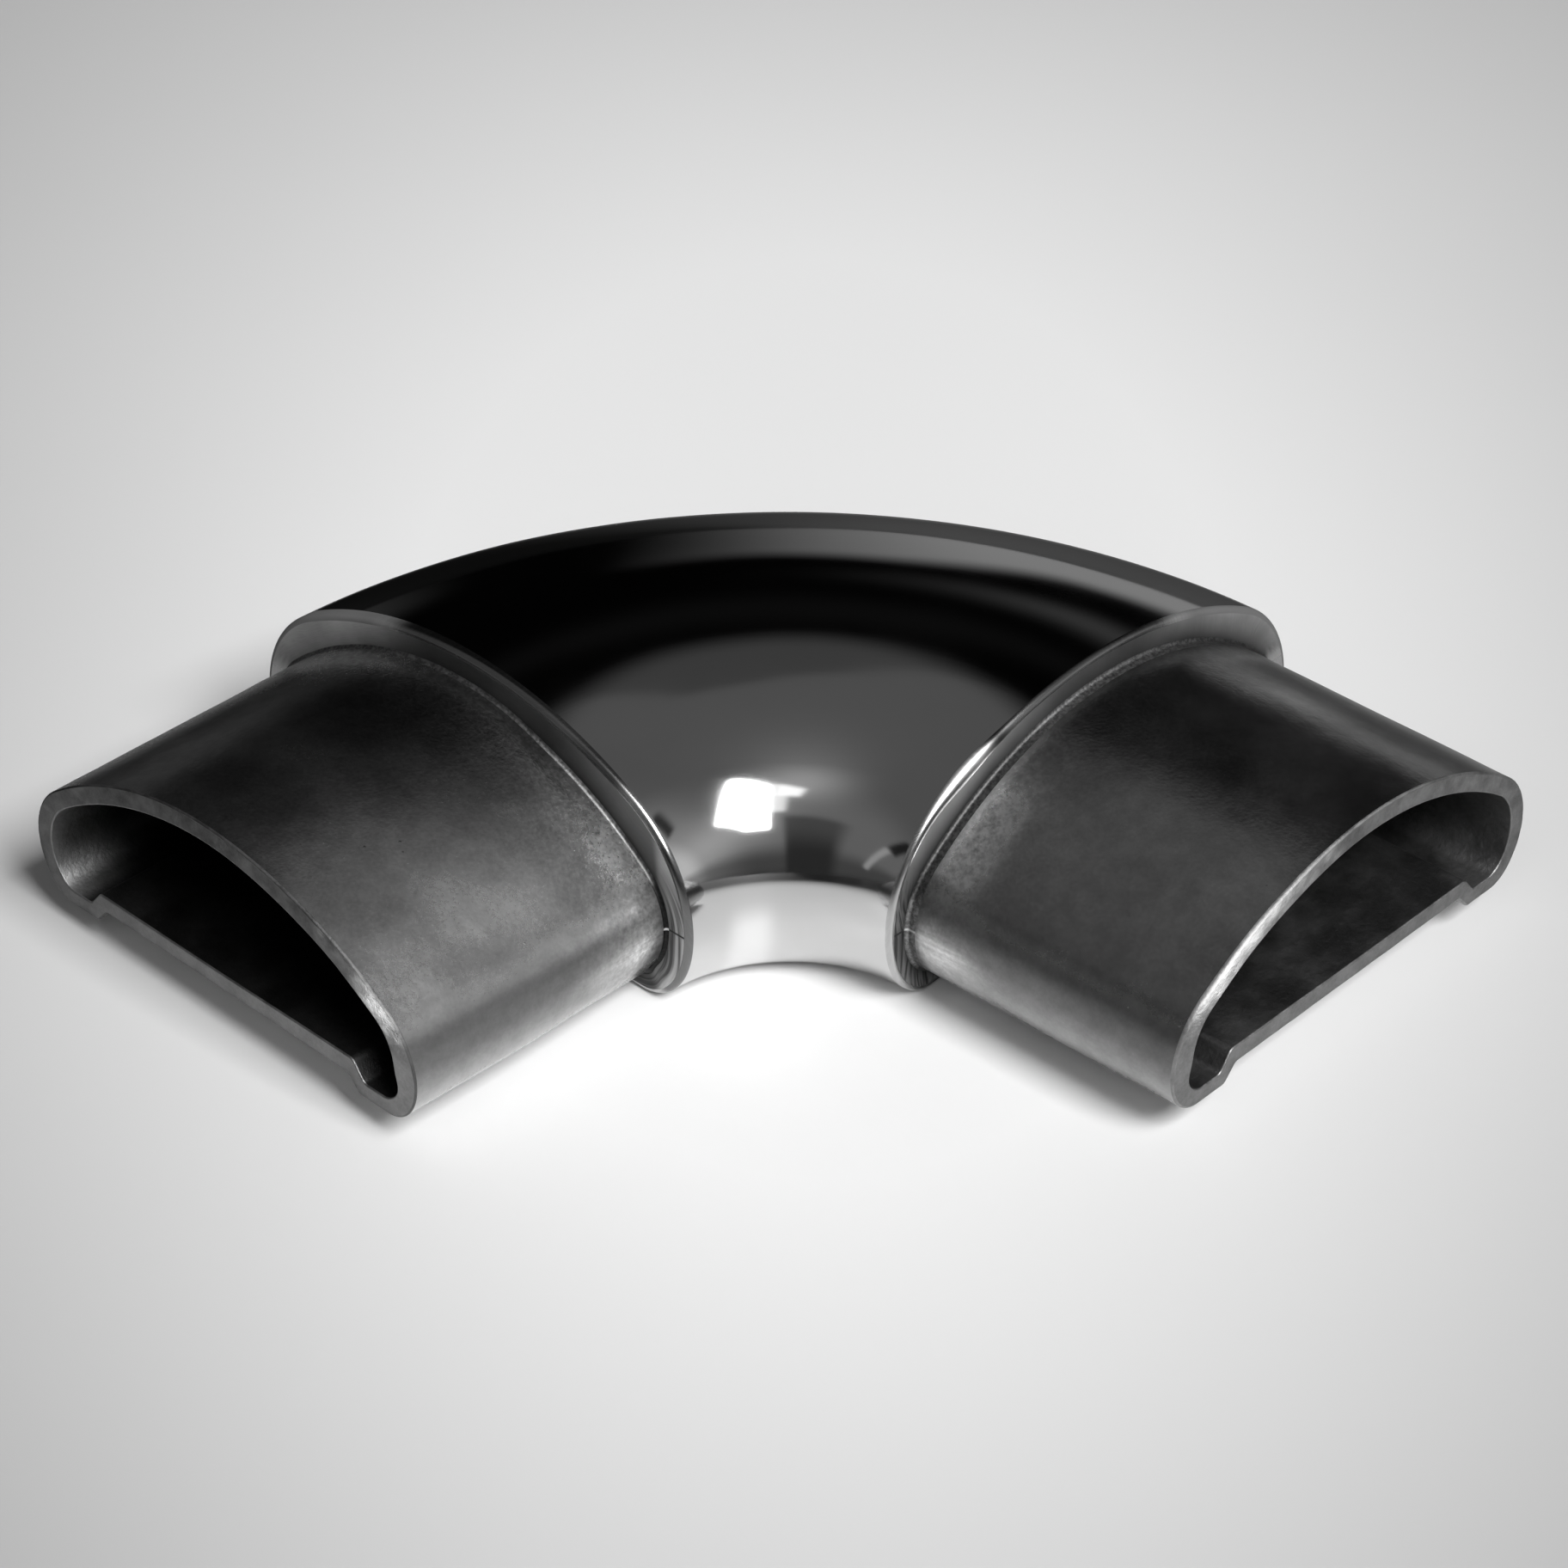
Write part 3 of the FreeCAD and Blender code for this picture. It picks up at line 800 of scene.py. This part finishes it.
camera = bpy.data.objects.new("camera", bpy.data.cameras.new("camera"))
bpy.context.scene.collection.objects.link(camera)
camera.data.sensor_width = SENSOR
camera.data.lens = FOCAL_PX / FRAME_PX * SENSOR
camera.data.clip_start, camera.data.clip_end = 0.01, 50.0
camera.matrix_world = Matrix(((cam_x[0], cam_y[0], -forward[0], eye[0] * MM),
                              (cam_x[1], cam_y[1], -forward[1], eye[1] * MM),
                              (cam_x[2], cam_y[2], -forward[2], eye[2] * MM),
                              (0, 0, 0, 1)))
bpy.context.scene.camera = camera


# ------------------------------------------------------------------ floor
def plane(name, size, z):
    s = size
    me = bpy.data.meshes.new(name)
    me.from_pydata([(-s, -s, z), (s, -s, z), (s, s, z), (-s, s, z)], [], [(0, 1, 2, 3)])
    o = bpy.data.objects.new(name, me)
    bpy.context.scene.collection.objects.link(o)
    o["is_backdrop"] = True
    return o


def floor_material(name, gloss, shine):
    m = bpy.data.materials.new(name)
    m.use_nodes = True
    g = Graph(m.node_tree)
    out = g.node("ShaderNodeOutputMaterial")
    b = g.node("ShaderNodeBsdfPrincipled")
    b.inputs["Roughness"].default_value = gloss
    b.inputs["Specular IOR Level"].default_value = shine
    g.tree.links.new(b.outputs[0], out.inputs["Surface"])
    where = g.node("ShaderNodeTexCoord").outputs["Object"]
    d = g.node("ShaderNodeVectorMath", operation="SUBTRACT")
    g.put(d.inputs[0], where)
    d.inputs[1].default_value = (0.016, -0.016, 0.0)
    # in units of 100 mm: to the right of the inside corner of the part, and behind it
    across = g.mul(g.dot(d.outputs[0], tuple(right)), 10.0)
    deep = g.mul(g.dot(d.outputs[0], (-math.sin(YAW), math.cos(YAW), 0.0)), 10.0)
    cloud = g.ramp(g.noise(where, 9.0, 3.0), 0.3, 0.7, 0.985, 1.0)
    return m, g, b, across, deep, cloud


def pale_floor():
    """Pale floor with a painted pool of light: darker away from the part."""
    m, g, b, across, deep, cloud = floor_material("floor_pale", 0.6, 0.3)
    a = g.math("DIVIDE", g.sub(across, 0.022), g.math("MAXIMUM", g.add(g.mul(deep, 0.332), 1.0), 0.4))
    near = g.math("MINIMUM", g.sub(deep, 0.337), 0.0)
    far = g.math("MAXIMUM", g.sub(deep, 0.337), 0.0)
    fall = g.add(g.mul(a, a, 1.324), g.add(g.mul(near, near, 0.613), g.mul(far, far, 0.134)))
    tone = g.math("MINIMUM", g.math("SMOOTH_MAX", g.math("DIVIDE", 1.0, g.add(fall, 1.0)), 0.42, 0.1), 0.88)
    g.put(b.inputs["Base Color"], g.grey(g.mul(tone, cloud)))
    return m


def mirrored_floor():
    """What the metal mirrors of the floor: a painted pool of light, bright close by, dark further away."""
    m, g, b, across, deep, cloud = floor_material("floor_mirrored", 0.35, 0.12)
    a = g.sub(across, 0.04)
    away = g.math("SQRT", g.add(g.mul(a, a), g.mul(deep, deep)))
    tone = g.add(g.ramp(away, 0.34, 1.10, 0.73, 0.0), g.mul(g.ramp(away, 0.5, 1.2), g.ramp(across, -0.40, 0.20, 0.004, 0.06)))
    g.put(b.inputs["Base Color"], g.grey(g.mul(tone, cloud)))
    return m


floor = plane("floor", 12.0, -0.00006)
floor.data.materials.append(pale_floor())
floor.visible_glossy = False
floor_seen = plane("floor_seen", 12.0, -0.00003)
floor_seen.data.materials.append(mirrored_floor())
floor_seen.visible_camera = floor_seen.visible_diffuse = floor_seen.visible_shadow = False
floor_seen.visible_transmission = False


def softbox(name, to_right, to_front, to_up, distance, size, watts):
    """Square lamp that lights the floor, aimed at the part. The metal mirrors the studio instead."""
    d = to_right * right + to_front * np.array([math.sin(YAW), -math.cos(YAW), 0.0]) + np.array([0, 0, to_up])
    d = d / np.linalg.norm(d)
    data = bpy.data.lights.new(name, "AREA")
    data.size, data.energy = size, watts
    o = bpy.data.objects.new(name, data)
    o.location = tuple(d * distance)
    side = np.cross([0, 0, 1.0], d)
    side /= np.linalg.norm(side)
    over = np.cross(d, side)
    o.matrix_world = Matrix(((side[0], over[0], d[0], d[0] * distance), (side[1], over[1], d[1], d[1] * distance),
                             (side[2], over[2], d[2], d[2] * distance), (0, 0, 0, 1)))
    o.visible_glossy = False
    bpy.context.scene.collection.objects.link(o)


softbox("key", 0.440, 0.520, 0.766, 2.5, 1.05, 77.0)
softbox("fill", -0.2, 0.75, 0.6, 2.5, 1.8, 11.0)

# ------------------------------------------------------------------ studio light, by direction
# phi runs from the horizon behind the part (0) over the zenith (90) to the horizon in front (180);
# lam is the angle to the right of that plane.
world = bpy.data.worlds.new("studio")
world.use_nodes = True
bpy.context.scene.world = world
world.cycles_visibility.diffuse = False
g = Graph(world.node_tree)
ray = g.node("ShaderNodeTexCoord").outputs["Generated"]
back = (-math.sin(YAW), math.cos(YAW), 0.0)
z_part, b_part, r_part = g.dot(ray, (0, 0, 1)), g.dot(ray, back), g.dot(ray, tuple(right))
phi = g.math("DEGREES", g.math("ARCTAN2", z_part, b_part))
lam = g.math("DEGREES", g.math("ARCSINE", r_part))


def polygon(corners, soft):
    """1 inside a convex outline given in (lam, phi), with soft edges."""
    c = np.array(corners, float)
    mid = c.mean(0)
    mask = None
    for p, q in zip(c, np.roll(c, -1, 0)):
        n = np.array([-(q - p)[1], (q - p)[0]]) / np.linalg.norm(q - p)
        if (mid - p) @ n < 0:
            n = -n
        d = g.add(g.add(g.mul(lam, float(n[0])), g.mul(phi, float(n[1]))), float(-(p @ n)))
        k = g.ramp(d, -soft, soft)
        mask = k if mask is None else g.mul(mask, k)
    return mask


def blob(l, p, wl, wp):
    """A round soft spot, 1 in the middle."""
    a = g.math("DIVIDE", g.sub(lam, l), wl)
    b = g.math("DIVIDE", g.sub(phi, p), wp)
    return g.math("EXPONENT", g.mul(g.add(g.mul(a, a), g.mul(b, b)), -1.0))


# overhead and front: a mid grey surround, lighter to the right and round the main panel
light = g.lerp(0.095, 0.30, g.ramp(lam, 22.0, 66.0))
light = g.add(light, g.mul(g.ramp(lam, 55.0, 70.0), 0.25))
light = g.add(light, g.mul(g.ramp(phi, 96.0, 132.0), 0.05))
light = g.add(light, g.mul(blob(-3.0, 107.0, 13.0, 15.0), 0.24))
light = g.add(light, g.mul(blob(34.0, 140.0, 26.0, 17.0), 0.19))
light = g.lerp(light, g.mul(light, 0.45), g.ramp(phi, 153.0, 170.0))
light = g.lerp(light, g.mul(light, 0.7), g.ramp(phi, 174.0, 182.0))
light = g.lerp(light, 0.056, polygon([(-8.0, 50.0), (-3.5, 64.5), (4.0, 68.0), (8.5, 67.0), (10.5, 50.0)], 1.3))
# behind: dark, with a light band low down on the right and a faint second one above it
top = g.ramp(lam, 2.0, 9.0, 18.0, 10.5)
low_band = g.mul(g.ramp(lam, -5.5, 7.0), g.ramp(g.sub(phi, top), 3.5, -3.5))
behind = g.add(0.0006, g.mul(low_band, 0.25))
behind = g.add(behind, g.mul(blob(0.0, 44.0, 2.5, 7.0), 0.004))
behind = g.add(behind, g.mul(blob(6.5, 28.0, 3.5, 4.0), 0.04))
behind = g.add(behind, g.mul(g.ramp(lam, 10.0, 30.0), g.ramp(phi, 54.0, 44.0), 0.04))
behind = g.add(behind, g.mul(g.ramp(lam, -9.5, -18.0), g.ramp(phi, 16.0, 6.0), 0.045))
behind = g.add(behind, g.mul(g.ramp(lam, -14.0, -30.0), 0.018))
light = g.lerp(behind, light, g.ramp(phi, 51.0, 58.0))
# narrow dark and light strips far to the sides
light = g.lerp(light, 0.012, polygon([(-63.0, 110.0), (-56.0, 112.0), (-53.0, 133.0), (-61.0, 136.0)], 2.0))
light = g.lerp(light, 0.34, polygon([(-57.0, 136.0), (-52.0, 135.0), (-46.0, 166.0), (-50.0, 168.0)], 1.6))
light = g.lerp(light, 0.03, polygon([(40.0, 85.0), (46.0, 83.0), (57.0, 101.0), (50.0, 103.0)], 2.5))
# dark card low in front
card = g.mul(g.ramp(lam, -33.0, -21.0), g.ramp(lam, 7.5, 2.5), g.ramp(phi, 132.0, 138.0))
light = g.lerp(light, g.ramp(phi, 140.0, 164.0, 0.066, 0.027), g.mul(card, g.ramp(phi, 184.0, 179.0)))
# main light panel, with a narrow second one beside it
light = g.lerp(light, 0.95, polygon([(1.5, 111.0), (9.5, 108.0), (11.0, 131.5), (4.0, 131.5)], 1.8))
light = g.lerp(light, 1.4, polygon([(-4.0, 113.5), (5.0, 110.5), (6.5, 119.0), (-2.0, 120.0)], 1.5))
light = g.lerp(light, 19.0, polygon([(16.8, 99.5), (37.0, 127.5), (25.5, 142.0), (13.3, 144.0), (9.0, 109.5)], 1.2))

# seen directly, the studio is a plain backdrop that fades into the far floor
backdrop = g.lerp(light, g.ramp(z_part, 0.0, 0.25, 0.06, 0.72), g.node("ShaderNodeLightPath").outputs["Is Camera Ray"])
bg = g.node("ShaderNodeBackground")
g.put(bg.inputs["Color"], g.grey(backdrop))
g.tree.links.new(bg.outputs[0], g.node("ShaderNodeOutputWorld").inputs["Surface"])

bpy.context.scene.view_settings.view_transform = "Standard"
bpy.context.scene.view_settings.look = "None"

# ------------------------------------------------------------------ sizes and end
low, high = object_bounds()
